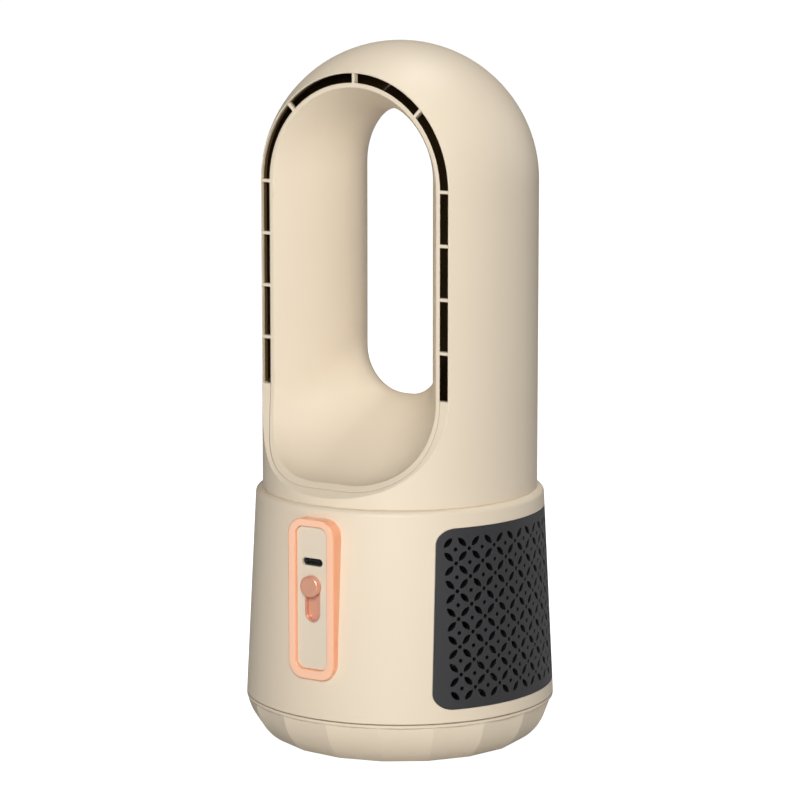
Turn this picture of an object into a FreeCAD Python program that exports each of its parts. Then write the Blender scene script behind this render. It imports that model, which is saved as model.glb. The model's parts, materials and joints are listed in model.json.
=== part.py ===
"""Bladeless fan heater: a capsule head with an open air loop on a conical base.

Millimetres, +Z up. The origin is the centre of the base on the surface that the rubber feet
stand on, and the front, with the control panel, faces -Y.
"""
import FreeCAD, Part
import math
import os
import Sketcher

DIMENSIONS = {
    # Head: an upright capsule whose front is cut back to a flat, arched mouth
    "overall_height": 243.6,
    "head_radius": 48.0,
    "head_wall": 2.0,
    "head_foot_z": 88.6,
    "mouth_plane": 28.5,
    "mouth_sweep_radius": 40.0,
    "mouth_sweep_z": 125.8,
    "chin_wall": 2.0,
    # Air duct through the head, narrowest at the throat
    "mouth_half_width": 33.4,
    "rear_half_width": 38.25,
    "rear_mouth_y": 29.0,
    "throat_half_width": 19.2,
    "throat_y": 1.5,
    "throat_rise": 5.5,
    "sill_crest_z": 120.5,
    "sill_crest_y": 3.0,
    "sill_low_z": 95.1,
    "sill_low_y": 42.8,
    "floor_flat": 10.0,
    "throat_flat": 1.0,
    "duct_wall": 1.6,
    "duct_fit": 0.05,
    # Nozzle slots round the mouth and the ribs between them
    "slot_half_width": 38.2,
    "slot_end_z": 125.0,
    "slot_depth": 8.0,
    "slot_rib": 1.1,
    "slot_rib_depth": 2.0,
    "slot_rib_pitch": 18.1,
    # Ring inside the head's foot, which takes the head screws
    "head_ring_inner": 38.2,
    "head_ring_height": 3.8,
    "head_spigot_height": 2.0,
    "head_spigot_wall": 1.6,
    "spigot_fit": 0.2,
    # Base housing: a cone with a roof
    "base_top_radius": 50.3,
    "base_bottom_radius": 54.0,
    "base_bottom_z": 16.0,
    "base_wall": 2.2,
    "base_roof": 2.2,
    "shoulder": 2.0,
    # Foot cover with facets round its bowl
    "foot_floor_z": 0.6,
    "foot_floor_radius": 44.6,
    "foot_bowl_radius": 19.0,
    "foot_facet_count": 18,
    "foot_facet_turn": 15.8,
    "foot_facet_clear": 0.1,
    "foot_band": 1.0,
    "foot_wall": 2.2,
    "seam_gap": 0.4,
    "spigot_height": 2.8,
    "pad_radius": 6.0,
    "pad_height": 1.4,
    "pad_circle": 33.0,
    # Foot screws and the bosses they go into
    "foot_screw_circle": 38.5,
    "foot_screw_angle": 55.0,
    "foot_screw_radius": 1.5,
    "foot_screw_reach": 20.0,
    "foot_screw_head": 2.9,
    "foot_screw_head_height": 2.4,
    "foot_screw_head_z": 5.6,
    "foot_tower_radius": 4.2,
    "foot_tower_top": 17.2,
    "boss_radius": 3.6,
    "boss_top": 34.0,
    "boss_rib": 2.4,
    "boss_rib_clear": 1.0,
    "screw_fit": 0.05,
    # Head screws, which clamp the blower, the roof and the head
    "head_screw_circle": 43.2,
    "head_screw_radius": 1.4,
    "head_screw_head": 2.6,
    "head_screw_head_height": 2.0,
    # Intake grille in the right side of the base
    "grille_top_z": 82.2,
    "grille_bottom_z": 20.5,
    "grille_top_half": 34.3,
    "grille_bottom_half": 37.3,
    "grille_corner": 5.5,
    "grille_fit": 0.15,
    "grille_flange": 1.4,
    "grille_flange_inset": 1.9,
    "grille_flange_wall": 1.2,
    "petal_columns": 14,
    "petal_rows": 12,
    "petal_column_pitch": 5.15,
    "petal_row_pitch": 4.77,
    "petal_middle_z": 51.3,
    "petal_length": 4.4,
    "petal_width": 1.9,
    "dot_radius": 0.7,
    "petal_depth": 10.0,
    # Control panel on the front of the base
    "panel_front": 54.55,
    "panel_width": 18.8,
    "panel_bottom_z": 29.6,
    "panel_top_z": 85.1,
    "panel_corner": 5.8,
    "plate_width": 12.8,
    "plate_bottom_z": 33.0,
    "plate_top_z": 82.5,
    "plate_corner": 3.0,
    "plate_front": 53.5,
    "plate_thickness": 1.0,
    "plate_fit": 0.1,
    "neck_wall": 0.6,
    "neck_back": 49.0,
    "ledge": 1.1,
    "panel_post_radius": 1.9,
    "panel_post_low_z": 36.2,
    "panel_post_high_z": 78.6,
    "panel_screw_radius": 0.9,
    "panel_screw_reach": 4.0,
    "panel_screw_head": 1.7,
    "panel_screw_head_height": 1.3,
    # Slider and its switch
    "slot_width": 6.2,
    "track_wall": 0.5,
    "track_recess": 0.1,
    "knob_high_z": 62.0,
    "knob_travel": 9.5,
    "knob_radius": 3.7,
    "knob_front": 55.9,
    "knob_chamfer": 0.6,
    "stem_radius": 2.2,
    "slide_gap": 0.3,
    "carriage_width": 8.4,
    "carriage_above": 5.7,
    "carriage_below": 13.3,
    "carriage_thickness": 1.0,
    "fork_size": 4.4,
    "fork_depth": 0.6,
    "lever_width": 1.8,
    "lever_height": 2.4,
    "lever_fit": 0.1,
    "switch_width": 7.0,
    "switch_length": 20.0,
    "switch_height": 4.0,
    "switch_slot_depth": 1.5,
    # USB-C socket
    "usb_z": 70.2,
    "usb_open_width": 8.34,
    "usb_open_height": 2.56,
    "usb_shell_wall": 0.35,
    "usb_back_wall": 1.0,
    "usb_tongue_width": 6.7,
    "usb_tongue_height": 0.7,
    "usb_tongue_reach": 4.4,
    # Control board behind the panel
    "control_board_front": 45.5,
    "control_board_half_width": 10.5,
    "control_board_bottom_z": 31.5,
    "control_board_top_z": 81.2,
    "board_thickness": 1.6,
    "standoff_radius": 1.5,
    "standoff_x": 9.0,
    "standoff_low_z": 42.0,
    "standoff_high_z": 74.0,
    # Main board in the foot
    "main_board_radius": 33.0,
    "main_board_z": 12.0,
    "main_post_radius": 2.8,
    "main_post_circle": 28.0,
    "main_screw_radius": 1.2,
    "main_screw_reach": 5.0,
    "main_screw_head": 2.3,
    "main_screw_head_height": 1.6,
    "board_part_x": 14.0,
    "capacitor_radius": 4.0,
    "capacitor_height": 9.0,
    "chip_side": 7.0,
    "chip_height": 1.2,
    "coil_side": 8.0,
    # Blower: casing, gasket, diffuser and impeller
    "blower_inlet_z": 36.0,
    "blower_throat_z": 40.0,
    "blower_throat_radius": 22.0,
    "blower_lip": 4.0,
    "blower_shoulder_z": 60.0,
    "blower_radius": 35.2,
    "blower_wall": 1.8,
    "blower_flange_radius": 46.4,
    "blower_flange": 2.0,
    "gasket_thickness": 0.5,
    "tip_gap": 0.6,
    "impeller_bottom_z": 41.0,
    "impeller_top_z": 59.0,
    "hub_nose_radius": 7.0,
    "hub_top_radius": 18.6,
    "blade_count": 9,
    "blade_thickness": 1.2,
    "blade_bow": 45.0,
    "blade_root": 2.0,
    "nut_radius": 3.6,
    "nut_height": 2.4,
    "pod_bottom_z": 60.5,
    "pod_top_z": 82.0,
    "pod_radius": 19.0,
    "pod_wall": 1.6,
    "pod_floor": 2.0,
    "vane_count": 9,
    "vane_thickness": 1.4,
    "vane_bottom_z": 63.0,
    "vane_fit": 0.05,
    "pod_cap_height": 3.0,
    "pod_cap_radius": 8.0,
    # Motor
    "motor_radius": 14.0,
    "motor_wall": 1.0,
    "motor_top_z": 81.0,
    "motor_floor": 1.0,
    "bearing_radius": 4.5,
    "bearing_width": 2.5,
    "bearing_seat": 1.5,
    "bearing_fit": 0.03,
    "shaft_radius": 2.0,
    "stator_bore": 8.2,
    "rotor_radius": 7.5,
    "magnet_length": 10.0,
    "end_cap": 2.0,
    "damper_length": 12.0,
    # Heater above the blower
    "heater_frame_radius": 38.0,
    "heater_frame_base": 2.5,
    "heater_ledge": 1.2,
    "heater_ledge_width": 1.4,
    "heater_length": 58.0,
    "heater_height": 14.0,
    "heater_wall": 1.6,
    "heater_wall_height": 9.0,
    "heater_fit": 0.1,
    "ptc_thickness": 2.4,
    "fin_depth": 6.4,
    "fin_spine": 0.6,
    "fin_sheet": 0.4,
    "fin_pitch": 2.0,
    "cutoff_radius": 2.6,
    "cutoff_length": 16.0,
    # Cables inside the base
    "cable_radius": 1.4,
    "cable_bend": 8.0,
    "grommet_z": 70.0,
    "grommet_flange": 1.6,
    "cable_plug": 7.0,
    "cable_plug_height": 5.0,
    "control_plug_x": 8.5,
    "control_plug_y": 24.0,
    "control_cable_z": 46.0,
    "power_plug_y": 24.0,
}

QUARTER = 90.0
FULL_TURN = 360.0
BEYOND = 60.0
# How far a cutter runs past the faces that it cuts
PAST = 1.0
# The most of a cable's run that one of its bends takes up
TRIM_SHARE = 0.45


class Size:
    """A number in millimetres or degrees with the sheet formula that it comes from."""

    def __init__(self, value, formula):
        self.value = float(value)
        self.formula = formula

    @staticmethod
    def of(thing):
        return thing if isinstance(thing, Size) else Size(thing, "(%r)" % float(thing))

    def __add__(self, other):
        other = Size.of(other)
        return Size(self.value + other.value, "(%s + %s)" % (self.formula, other.formula))

    def __sub__(self, other):
        other = Size.of(other)
        return Size(self.value - other.value, "(%s - %s)" % (self.formula, other.formula))

    def __mul__(self, other):
        other = Size.of(other)
        return Size(self.value * other.value, "(%s * %s)" % (self.formula, other.formula))

    def __truediv__(self, other):
        other = Size.of(other)
        return Size(self.value / other.value, "(%s / %s)" % (self.formula, other.formula))

    def __radd__(self, other):
        return Size.of(other) + self

    def __rsub__(self, other):
        return Size.of(other) - self

    def __rmul__(self, other):
        return Size.of(other) * self

    def __neg__(self):
        return Size.of(0) - self


def root(size):
    return Size(math.sqrt(size.value), "sqrt(%s)" % size.formula)


def cosine(size):
    return Size(math.cos(math.radians(size.value)), "cos(%s * 1 deg)" % size.formula)


def sine(size):
    return Size(math.sin(math.radians(size.value)), "sin(%s * 1 deg)" % size.formula)


def whole(size):
    return Size(math.floor(size.value), "floor(%s)" % size.formula)


def other_leg(long_side, leg):
    """The second short side of a right triangle."""
    return root(long_side * long_side - leg * leg)


doc = FreeCAD.newDocument("bladeless_fan_heater")
sheet = doc.addObject("Spreadsheet::Sheet", "dims")
for row, (alias, number) in enumerate(DIMENSIONS.items(), start=1):
    sheet.set("A%d" % row, alias.replace("_", " "))
    sheet.set("B%d" % row, str(number))
    sheet.setAlias("B%d" % row, alias)
doc.recompute()


def dim(alias):
    return Size(sheet.get(alias), "dims.%s" % alias)


# Tools of the document: bound sizes, sketches, features and booleans
def bind(thing, path, size):
    thing.setExpression(path, Size.of(size).formula)


def place(thing, at, turn=(0.0, 0.0, 1.0, 0.0)):
    """Turn a thing about an axis through its own origin, then move it by bound distances."""
    rotation = FreeCAD.Rotation(FreeCAD.Vector(*turn[:3]), turn[3])
    thing.Placement = FreeCAD.Placement(FreeCAD.Vector(), rotation)
    for axis, distance in zip("xyz", at):
        bind(thing, "Placement.Base.%s" % axis, distance)
    return thing


def box(name, low, high):
    """A block between two corners."""
    block = doc.addObject("Part::Box", name)
    low, high = [Size.of(n) for n in low], [Size.of(n) for n in high]
    for side, a, b in zip(("Length", "Width", "Height"), low, high):
        bind(block, side, b - a)
    return place(block, low)


TURNS = {"X": (0, 1, 0, QUARTER), "Y": (1, 0, 0, -QUARTER), "-Y": (1, 0, 0, QUARTER), "Z": (0, 0, 1, 0)}


def cylinder(name, radius, length, start, along="Z"):
    rod = doc.addObject("Part::Cylinder", name)
    bind(rod, "Radius", radius)
    bind(rod, "Height", length)
    return place(rod, start, TURNS[along])


def cut(base, *tools):
    for tool in tools:
        result = doc.addObject("Part::Cut", "Trimmed")
        result.Base, result.Tool = base, tool
        base = result
    return base


def join(*shapes):
    result = doc.addObject("Part::MultiFuse", "Joined")
    result.Shapes = list(shapes)
    return result


def overlap(*shapes):
    result = doc.addObject("Part::MultiCommon", "Shared")
    result.Shapes = list(shapes)
    return result


def group(name, *shapes):
    result = doc.addObject("Part::Compound", name)
    result.Links = list(shapes)
    return result


def plane_of(body, role):
    return [f for f in body.Origin.OriginFeatures if f.Role == role][0]


def arc_between(start, end, radius):
    """An arc of a signed radius, anticlockwise where it is positive."""
    middle, half = (start + end) / 2, (end - start) / 2
    rise = math.sqrt(max(radius * radius - half.Length ** 2, 0.0))
    left = FreeCAD.Vector(-half.y, half.x, 0).normalize()
    centre = middle + left * math.copysign(rise, radius)
    first, last = (start, end) if radius > 0 else (end, start)
    angles = [math.atan2(p.y - centre.y, p.x - centre.x) for p in (first, last)]
    return Part.ArcOfCircle(Part.Circle(centre, FreeCAD.Vector(0, 0, 1), abs(radius)), *angles)


def outline(body, role, points, level=0.0):
    """A closed sketch through bound points; a third entry is the arc radius of the edge to that point."""
    sketch = body.newObject("Sketcher::SketchObject", "Outline")
    sketch.AttachmentSupport = [(plane_of(body, role), "")]
    sketch.MapMode = "FlatFace"
    bind(sketch, "AttachmentOffset.Base.z", level)
    corners = [[Size.of(n) for n in point] for point in points]
    spots = [FreeCAD.Vector(c[0].value, c[1].value, 0) for c in corners]
    begins, ends = [], []
    for i, spot in enumerate(spots):
        after = (i + 1) % len(spots)
        radius = corners[after][2] if len(corners[after]) > 2 else None
        if radius is None:
            edge = sketch.addGeometry(Part.LineSegment(spot, spots[after]), False)
        else:
            edge = sketch.addGeometry(arc_between(spot, spots[after], radius.value), False)
            size = radius if radius.value > 0 else -radius
            bound = sketch.addConstraint(Sketcher.Constraint("Radius", edge, size.value))
            bind(sketch, "Constraints[%d]" % bound, size)
        forward = radius is None or radius.value > 0
        begins.append((edge, 1 if forward else 2))
        ends.append((edge, 2 if forward else 1))
    for i, begin in enumerate(begins):
        sketch.addConstraint(Sketcher.Constraint("Coincident", *ends[i - 1], *begin))
    for begin, corner in zip(begins, corners):
        for kind, axis, size in (("DistanceX", -2, corner[0]), ("DistanceY", -1, corner[1])):
            if abs(size.value) < 1e-9:
                sketch.addConstraint(Sketcher.Constraint("PointOnObject", *begin, axis))
            else:
                bound = sketch.addConstraint(Sketcher.Constraint(kind, -1, 1, *begin, size.value))
                bind(sketch, "Constraints[%d]" % bound, size)
    return sketch


def new_body(name):
    return doc.addObject("PartDesign::Body", name)


def revolved(name, points, feature="Revolution", body=None):
    """A turned piece: points are (radius, z) round the Z axis."""
    body = body or new_body(name)
    sketch = outline(body, "XZ_Plane", points)
    turn = body.newObject("PartDesign::" + feature, feature)
    turn.Profile = sketch
    turn.ReferenceAxis = (sketch, ["V_Axis"])
    turn.Angle = FULL_TURN
    body.Tip = turn
    return body


def padded(name, role, points, level, length, body=None):
    """A plate or prism raised from a plane; the XZ plane faces -Y, so its level counts forward."""
    body = body or new_body(name)
    pad = body.newObject("PartDesign::Pad", "Pad")
    pad.Profile = outline(body, role, points, level)
    bind(pad, "Length", length)
    body.Tip = pad
    return body


def turned_copies(body, count):
    """Copies of a body's last feature round the Z axis."""
    pattern = body.newObject("PartDesign::PolarPattern", "Around")
    pattern.Originals = [body.Tip]
    pattern.Axis = ([f for f in body.Origin.OriginFeatures if f.Role == "Z_Axis"][0], [""])
    pattern.Angle = FULL_TURN
    bind(pattern, "Occurrences", count)
    body.Tip = pattern
    return body


def rectangle(left, right, low, high):
    return [(left, low), (right, low), (right, high), (left, high)]


def rounded(half_width, low, high, corner, top_half=None):
    """A rounded rectangle, centred left to right, or a trapezium whose top has its own half width."""
    top = top_half or half_width
    return [
        (corner - half_width, low, corner),
        (half_width - corner, low),
        (half_width, low + corner, corner),
        (top, high - corner),
        (top - corner, high, corner),
        (corner - top, high),
        (-top, high - corner, corner),
        (-half_width, low + corner),
    ]


def stadium(half_width, low, high):
    """An upright slot outline with round ends, between its two end centres."""
    return [
        (-half_width, low),
        (0, low - half_width, half_width),
        (half_width, low, half_width),
        (half_width, high),
        (0, high + half_width, half_width),
        (-half_width, high, half_width),
    ]


def ring_spots(radius, angles):
    """Places on a circle round the Z axis, at angles from +X in degrees."""
    return [(Size.of(radius) * cosine(Size.of(a)), Size.of(radius) * sine(Size.of(a))) for a in angles]


# Places that several pieces share
head_radius = dim("head_radius")
dome_z = dim("overall_height") - head_radius
head_foot = dim("head_foot_z")
roof_under = head_foot - dim("base_roof")
base_slope = (dim("base_bottom_radius") - dim("base_top_radius")) / (head_foot - dim("base_bottom_z"))
mouth = dim("mouth_plane")
sweep = dim("mouth_sweep_radius")
sweep_z = dim("mouth_sweep_z")
ring_inner = dim("head_ring_inner")
spigot_outer = ring_inner + dim("head_spigot_wall")
ring_top = head_foot + dim("head_ring_height")
flange_top = roof_under - dim("gasket_thickness")
flange_under = flange_top - dim("blower_flange")
casing = dim("blower_radius") + dim("blower_wall")
cone_height = dim("blower_shoulder_z") - dim("blower_throat_z")
cone_slope = (dim("blower_radius") - dim("blower_throat_radius")) / cone_height
cone_lean = root(cone_slope * cone_slope + 1.0)
foot_floor = dim("foot_floor_z") + dim("foot_wall")
foot_top = dim("base_bottom_z") - dim("seam_gap")
plate_half = dim("plate_width") / 2
plate_back = dim("plate_front") - dim("plate_thickness")
knob_z = dim("knob_high_z")
knob_low_z = knob_z - dim("knob_travel")
carriage_front = plate_back - dim("slide_gap")
carriage_back = carriage_front - dim("carriage_thickness")
board_front = dim("control_board_front")
board_back = board_front - dim("board_thickness")
switch_front = board_front + dim("switch_height")
main_top = dim("main_board_z") + dim("board_thickness")
heater_half = dim("fin_depth") * 1.5 + dim("ptc_thickness")
ledge_top = flange_top + dim("heater_ledge")
SWEEP_TURN = Size.of(75.0)
FOOT_SCREWS = [dim("foot_screw_angle") + turn for turn in (0.0, 180.0)]
FOOT_SCREWS += [180.0 * side - dim("foot_screw_angle") for side in (0, 1)]
HEAD_SCREWS = [45.0, 135.0, 225.0, 315.0]
PADS = [0.0, 90.0, 180.0, 270.0]
MAIN_POSTS = [30.0, 150.0, 270.0]


def base_radius(z):
    """The outer radius of the base cone at a height."""
    return dim("base_bottom_radius") - (Size.of(z) - dim("base_bottom_z")) * base_slope


def base_cone(name, depth):
    """The whole base cone, shrunk by a depth, from its bottom to the roof."""
    cone = doc.addObject("Part::Cone", name)
    bind(cone, "Radius1", dim("base_bottom_radius") - depth)
    bind(cone, "Radius2", dim("base_top_radius") - depth)
    bind(cone, "Height", head_foot - dim("base_bottom_z"))
    return place(cone, (0, 0, dim("base_bottom_z")))


def pins(name, radius, low, high, circle, angles):
    """Equal upright rods on a circle."""
    return [cylinder(name, radius, high - low, (x, y, low)) for x, y in ring_spots(circle, angles)]


def screws(name, shank, low, high, head, head_low, head_high, circle, angles):
    """Equal upright screws on a circle: a shank and a head, each between two heights."""
    rods = pins(name + "_shank", shank, low, high, circle, angles)
    caps = pins(name + "_head", head, head_low, head_high, circle, angles)
    return group(name, *[join(rod, cap) for rod, cap in zip(rods, caps)])


# Head: shell, air duct and the nozzle slots round the mouth
def duct_section(y, growth):
    """The duct's outline at one depth: arched top, straight sides and a rounded floor."""
    ahead = y < dim("throat_y").value
    throat = dim("throat_half_width").value
    wide = dim("mouth_half_width" if ahead else "rear_half_width").value
    reach = dim("mouth_plane").value + dim("throat_y").value
    if not ahead:
        reach = dim("rear_mouth_y").value - dim("throat_y").value
    share = abs(y - dim("throat_y").value) / reach
    half = throat + (wide - throat) * share ** 2 + growth
    arch_z = dome_z.value + dim("throat_rise").value * (1 - min(share, 1.0) ** 2)
    crest_y, crest_z = dim("sill_crest_y").value, dim("sill_crest_z").value
    sill_reach = dim("sill_low_y").value + crest_y if y < crest_y else head_radius.value
    fall = min(abs(y - crest_y) / sill_reach, 1.0)
    floor_z = crest_z - (crest_z - dim("sill_low_z").value) * fall * fall * (3 - 2 * fall) - growth
    least = dim("throat_flat").value
    flat = least + (dim("floor_flat").value - least) * min(share, 1.0)
    corner = half - flat
    side_z = floor_z + corner
    slant = corner * math.sqrt(0.5)

    def at(x, z):
        return FreeCAD.Vector(x, y, z)

    eighths = [k * math.pi / 4 for k in range(5)]
    arch = [at(half * math.cos(a), arch_z + half * math.sin(a)) for a in eighths]
    edges = [
        Part.Arc(arch[0], arch[1], arch[2]),
        Part.Arc(arch[2], arch[3], arch[4]),
        Part.LineSegment(arch[4], at(-half, side_z)),
        Part.Arc(at(-half, side_z), at(-flat - slant, side_z - slant), at(-flat, floor_z)),
        Part.LineSegment(at(-flat, floor_z), at(flat, floor_z)),
        Part.Arc(at(flat, floor_z), at(flat + slant, side_z - slant), at(half, side_z)),
        Part.LineSegment(at(half, side_z), arch[0]),
    ]
    return Part.Wire([edge.toShape() for edge in edges])


def duct_loft(name, growth, margin):
    """A solid right through the head, past its skin by a margin at both ends."""
    front, throat, rear = -mouth.value, dim("throat_y").value, dim("rear_mouth_y").value
    past = head_radius.value + margin
    depths = [-past, front, (front + throat) / 2, throat, (throat + rear) / 2, rear, past]
    loft = doc.addObject("Part::Feature", name)
    loft.Shape = Part.makeLoft([duct_section(y, growth) for y in depths], True)
    return loft


def capsule(name, radius, foot_z):
    """An upright round-topped solid about the head's dome centre."""
    return revolved(name, [(0, foot_z), (radius, foot_z), (radius, dome_z), (0, dome_z + radius, radius)])


def across(name, points):
    """A side profile, as (y, z), run right across the object."""
    return padded(name, "YZ_Plane", points, -BEYOND, 2 * BEYOND)


def sweep_end(radius):
    """The low end, as (y, z), of an arc about the centre of the mouth's sweep."""
    return (radius * cosine(SWEEP_TURN) - mouth - sweep, sweep_z - radius * sine(SWEEP_TURN))


def make_head():
    wall, fit = dim("duct_wall").value, dim("duct_fit").value
    duct_void = duct_loft("duct_void", 0.0, wall * 2)
    duct_body = duct_loft("duct_body", wall, wall)
    duct_room = duct_loft("duct_room", wall + fit, wall)
    outside = capsule("head_outside", head_radius, head_foot)
    low_y, low_z = sweep_end(sweep)
    high_z = dim("overall_height") + BEYOND
    front_cut = across("front_cut", [
        (-mouth, high_z),
        (Size.of(-2 * BEYOND), high_z),
        (Size.of(-2 * BEYOND), low_z),
        (low_y, low_z),
        (-mouth, sweep_z, sweep),
    ])
    make_head_shell(outside, front_cut, duct_room, low_y, low_z)
    tube = cut(overlap(outside, duct_body), front_cut, duct_void)
    node("air_duct", join(tube, *slot_ribs()))


def make_head_shell(outside, front_cut, duct_room, low_y, low_z):
    inside = capsule("head_inside", head_radius - dim("head_wall"), head_foot - dim("head_wall"))
    embed = head_radius - dim("head_wall") / 2
    ring = revolved("head_ring", [
        (ring_inner, head_foot - dim("head_spigot_height")),
        (spigot_outer, head_foot - dim("head_spigot_height")),
        (spigot_outer, head_foot),
        (embed, head_foot),
        (embed, ring_top),
        (ring_inner, ring_top),
    ])
    under = sweep + dim("chin_wall")
    chin_slab = across("chin_slab", [
        (low_y, low_z, -sweep),
        sweep_end(under),
        (dim("chin_wall") - mouth, sweep_z, under),
        (-mouth, sweep_z),
    ])
    half, depth = dim("slot_half_width"), dim("slot_depth")
    slots = padded("slot_prism", "XZ_Plane", [
        (-half, dim("slot_end_z")),
        (half, dim("slot_end_z")),
        (half, dome_z),
        (0, dome_z + half, half),
        (-half, dome_z, half),
    ], mouth - depth, depth + PAST)
    holes = pins("head_screw_hole", dim("head_screw_radius") + dim("screw_fit"),
                 head_foot - PAST, ring_top + PAST, dim("head_screw_circle"), HEAD_SCREWS)
    walls = join(cut(outside, inside), ring, overlap(chin_slab, outside))
    node("head_shell", cut(walls, front_cut, duct_room, slots, *holes))


def slot_ribs():
    """Bridges across the nozzle slot: round the arch, and down both straight sides."""
    inner, outer = dim("mouth_half_width") + dim("duct_wall") / 4, dim("slot_half_width") - dim("duct_fit")
    half = dim("slot_rib") / 2
    places = [(angle, 0) for angle in (0, 45, 90, 135, 180)]
    places += [(side, step) for side in (0, 180) for step in (1, 2, 3)]
    ribs = []
    for angle, step in places:
        rib = doc.addObject("Part::Box", "slot_rib")
        bind(rib, "Length", outer - inner)
        bind(rib, "Width", dim("slot_rib_depth"))
        bind(rib, "Height", dim("slot_rib"))
        c, s = round(math.cos(math.radians(angle)), 9), round(math.sin(math.radians(angle)), 9)
        drop = dim("slot_rib_pitch") * step
        corner = (inner * c + half * s, -mouth, dome_z + inner * s - half * c - drop)
        ribs.append(place(rib, corner, (0, 1, 0, -angle)))
    return ribs


# Base: housing, foot, grille and the screws
def make_base_housing():
    shoulder_z = head_foot - dim("shoulder")
    shoulder_r = base_radius(shoulder_z)
    bottom = dim("base_bottom_radius")
    hole = spigot_outer + dim("spigot_fit")
    shell = revolved("housing_shell", [
        (bottom - dim("base_wall"), dim("base_bottom_z")),
        (bottom, dim("base_bottom_z")),
        (shoulder_r, shoulder_z),
        (shoulder_r - dim("shoulder"), head_foot, dim("shoulder")),
        (hole, head_foot),
        (hole, roof_under),
        (base_radius(roof_under) - dim("base_wall"), roof_under),
    ])
    circle = dim("foot_screw_circle")
    bosses = pins("boss", dim("boss_radius"), dim("foot_tower_top"), dim("boss_top"), circle, FOOT_SCREWS)
    pilots = pins("pilot", dim("foot_screw_radius") + dim("screw_fit"), dim("foot_tower_top") - PAST,
                  dim("boss_top") - PAST, circle, FOOT_SCREWS)
    roof_holes = pins("roof_hole", dim("head_screw_radius") + dim("screw_fit"), roof_under - PAST,
                      head_foot + PAST, dim("head_screw_circle"), HEAD_SCREWS)
    window = grille_prism("grille_window", dim("grille_fit"))
    room = dim("plate_fit")
    opening = padded("panel_opening", "XZ_Plane", panel_outline(dim("neck_wall") + room),
                     neck_level() - room, Size.of(BEYOND))
    walls = join(shell, *bosses, *boss_ribs(), *board_standoffs())
    node("base_housing", cut(walls, window, opening, *pilots, *roof_holes))


def boss_ribs():
    """Webs that carry the screw bosses from the wall, above the foot's spigot."""
    low = dim("base_bottom_z") + dim("spigot_height") + dim("boss_rib_clear")
    inner = dim("foot_screw_circle") + dim("boss_radius") / 2
    outer = base_radius(dim("boss_top")) - dim("base_wall") / 2
    half = dim("boss_rib") / 2
    ribs = []
    for angle in FOOT_SCREWS:
        web = doc.addObject("Part::Box", "boss_rib")
        bind(web, "Length", outer - inner)
        bind(web, "Width", dim("boss_rib"))
        bind(web, "Height", dim("boss_top") - low)
        corner_x = inner * cosine(angle) + half * sine(angle)
        corner_y = inner * sine(angle) - half * cosine(angle)
        place(web, (corner_x, corner_y, low), (0, 0, 1, angle.value))
        bind(web, "Placement.Rotation.Angle", angle)
        ribs.append(web)
    return ribs


def board_standoffs():
    """Four posts from the front wall that the control board is pulled against."""
    posts = []
    for z in (dim("standoff_low_z"), dim("standoff_high_z")):
        front = other_leg(base_radius(z) - dim("base_wall") / 2, dim("standoff_x"))
        for side in (-1, 1):
            posts.append(cylinder("standoff", dim("standoff_radius"), front - board_front,
                                  (dim("standoff_x") * side, -front, z), "Y"))
    return posts


def make_foot():
    floor, radius = dim("foot_floor_z"), dim("foot_floor_radius")
    rim, bend = dim("base_bottom_radius"), dim("foot_bowl_radius")
    band = cylinder("foot_rim_band", rim, dim("foot_band"), (0, 0, foot_top - dim("foot_band")))
    bowl = join(foot_facets(), band)
    spigot_r = rim - dim("base_wall") - dim("spigot_fit") - dim("base_wall") * base_slope
    spigot_in = spigot_r - dim("foot_wall")
    hollow = revolved("foot_hollow", [
        (0, foot_floor),
        (radius - dim("foot_wall") / 2, foot_floor),
        (spigot_in, foot_top, bend - dim("foot_wall")),
        (spigot_in, foot_top + dim("spigot_height") * 2),
        (0, foot_top + dim("spigot_height") * 2),
    ])
    spigot = revolved("foot_spigot", rectangle(
        spigot_in - dim("foot_wall") / 4, spigot_r, foot_top - dim("foot_wall") / 4,
        dim("base_bottom_z") + dim("spigot_height")))
    circle, head_top = dim("foot_screw_circle"), dim("foot_screw_head_z") + dim("foot_screw_head_height")
    sunk = foot_floor - dim("foot_wall") / 2
    towers = pins("tower", dim("foot_tower_radius"), sunk, dim("foot_tower_top"), circle, FOOT_SCREWS)
    posts = pins("post", dim("main_post_radius"), sunk, dim("main_board_z"),
                 dim("main_post_circle"), MAIN_POSTS)
    fit = dim("screw_fit")
    sinks = pins("screw_sink", dim("foot_screw_head") + fit * 4, floor - PAST, head_top, circle, FOOT_SCREWS)
    bores = pins("screw_bore", dim("foot_screw_radius") + fit * 2, floor - PAST,
                 dim("foot_tower_top") + PAST, circle, FOOT_SCREWS)
    threads = pins("post_bore", dim("main_screw_radius") + fit, main_top - dim("main_screw_reach") - PAST,
                   dim("main_board_z") + PAST, dim("main_post_circle"), MAIN_POSTS)
    recesses = pins("pad_recess", dim("pad_radius") + fit, floor - PAST, dim("pad_height"),
                    dim("pad_circle"), PADS)
    bowl_shell = join(cut(bowl, hollow), spigot)
    walls = join(bowl_shell, *towers, *posts)
    node("foot_cover", cut(walls, *sinks, *bores, *threads, *recesses))
    node("rubber_feet", group("pads", *pins("pad", dim("pad_radius"), Size.of(0), dim("pad_height"),
                                            dim("pad_circle"), PADS)))
    head_low = dim("foot_screw_head_z")
    node("foot_screws", screws("foot_screw", dim("foot_screw_radius"), head_low,
                               head_top + dim("foot_screw_reach"), dim("foot_screw_head"),
                               head_low, head_top, circle, FOOT_SCREWS))


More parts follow.
